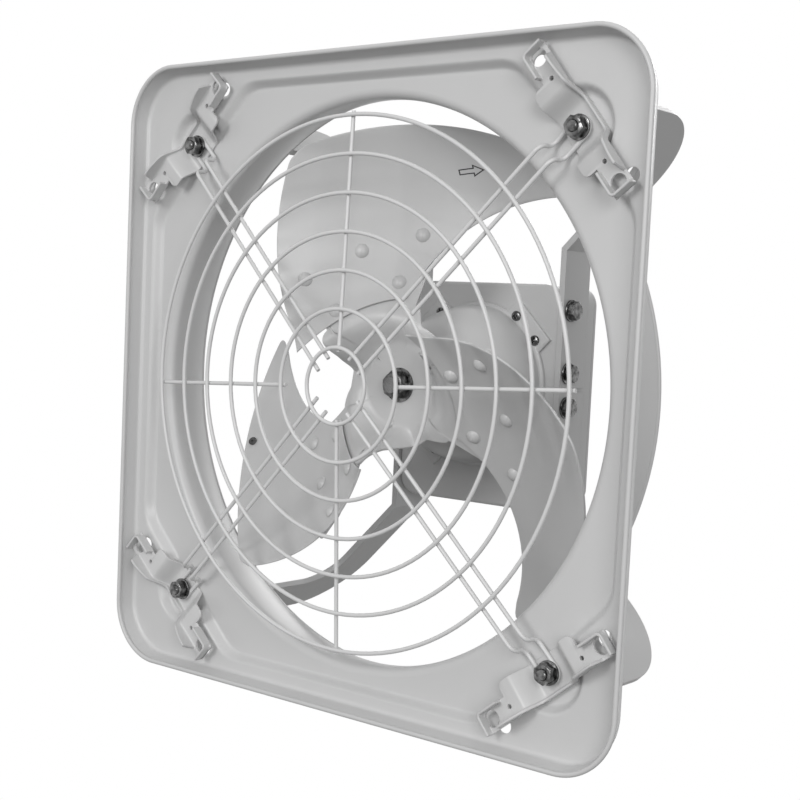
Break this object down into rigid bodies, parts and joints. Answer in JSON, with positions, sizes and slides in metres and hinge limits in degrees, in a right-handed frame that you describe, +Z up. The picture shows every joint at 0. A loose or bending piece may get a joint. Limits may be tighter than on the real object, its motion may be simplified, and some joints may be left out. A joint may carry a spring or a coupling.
{
  "type": "wall exhaust fan",
  "caption": "Square wall exhaust fan with a pressed venturi frame, a wire guard, a riveted propeller and a motor carried on bent flat-bar stays.",
  "frame": {"origin": "centre of the round opening on the wall plane, which is the back of the flat border", "axes": "+X to the right seen from the guarded front, +Y from the front to the motor, +Z up"},
  "size_m": [0.48, 0.2518, 0.48],
  "materials": {
    "frame_paint": "satin",
    "guard_paint": "satin",
    "bracket_paint": "satin",
    "stay_paint": "satin",
    "motor_paint": "satin",
    "blade_paint": "satin",
    "dark_zinc": "satin",
    "bright_steel": "satin",
    "core_steel": "matte",
    "winding": "satin",
    "gland_plastic": "matte"
  },
  "bodies": {
    "fan_frame": {"frame_panel": "frame_paint", "guard_rings": "guard_paint", "guard_spokes": "guard_paint", "guard_arm_upper_right": "guard_paint", "guard_arm_lower_right": "guard_paint", "guard_arm_lower_left": "guard_paint", "guard_arm_upper_left": "guard_paint", "hook_bracket_upper_right": "bracket_paint", "hook_bracket_lower_right": "bracket_paint", "hook_bracket_lower_left": "bracket_paint", "hook_bracket_upper_left": "bracket_paint", "corner_bolts": "dark_zinc", "corner_washers": "dark_zinc", "corner_nuts": "dark_zinc", "motor_stay_upper_right": "stay_paint", "motor_stay_lower_right": "stay_paint", "motor_stay_lower_left": "stay_paint", "motor_stay_upper_left": "stay_paint", "stay_bolts": "dark_zinc", "stay_washers": "dark_zinc", "motor_body": "motor_paint", "motor_front_cover": "motor_paint", "motor_rear_cover": "motor_paint", "front_cover_screws": "dark_zinc", "rear_cover_screws": "dark_zinc", "stator_core": "core_steel", "stator_winding": "winding", "front_bearing_outer": "bright_steel", "rear_bearing_outer": "bright_steel", "cable_gland": "gland_plastic"},
    "rotor": {"shaft": "bright_steel", "rotor_core": "core_steel", "front_bearing_inner": "bright_steel", "rear_bearing_inner": "bright_steel", "hub_spider": "blade_paint", "hub_boss": "blade_paint", "hub_washer": "dark_zinc", "hub_nut": "dark_zinc", "blade_1": "blade_paint", "blade_2": "blade_paint", "blade_3": "blade_paint", "blade_rivets": "blade_paint", "balance_rivet": "bright_steel"}
  },
  "joints": [
    {"name": "fan_spin", "type": "hinge", "parent": "fan_frame", "child": "rotor", "pos_m": [0, 0, 0], "axis": [0, 1, 0], "continuous": true}
  ]
}
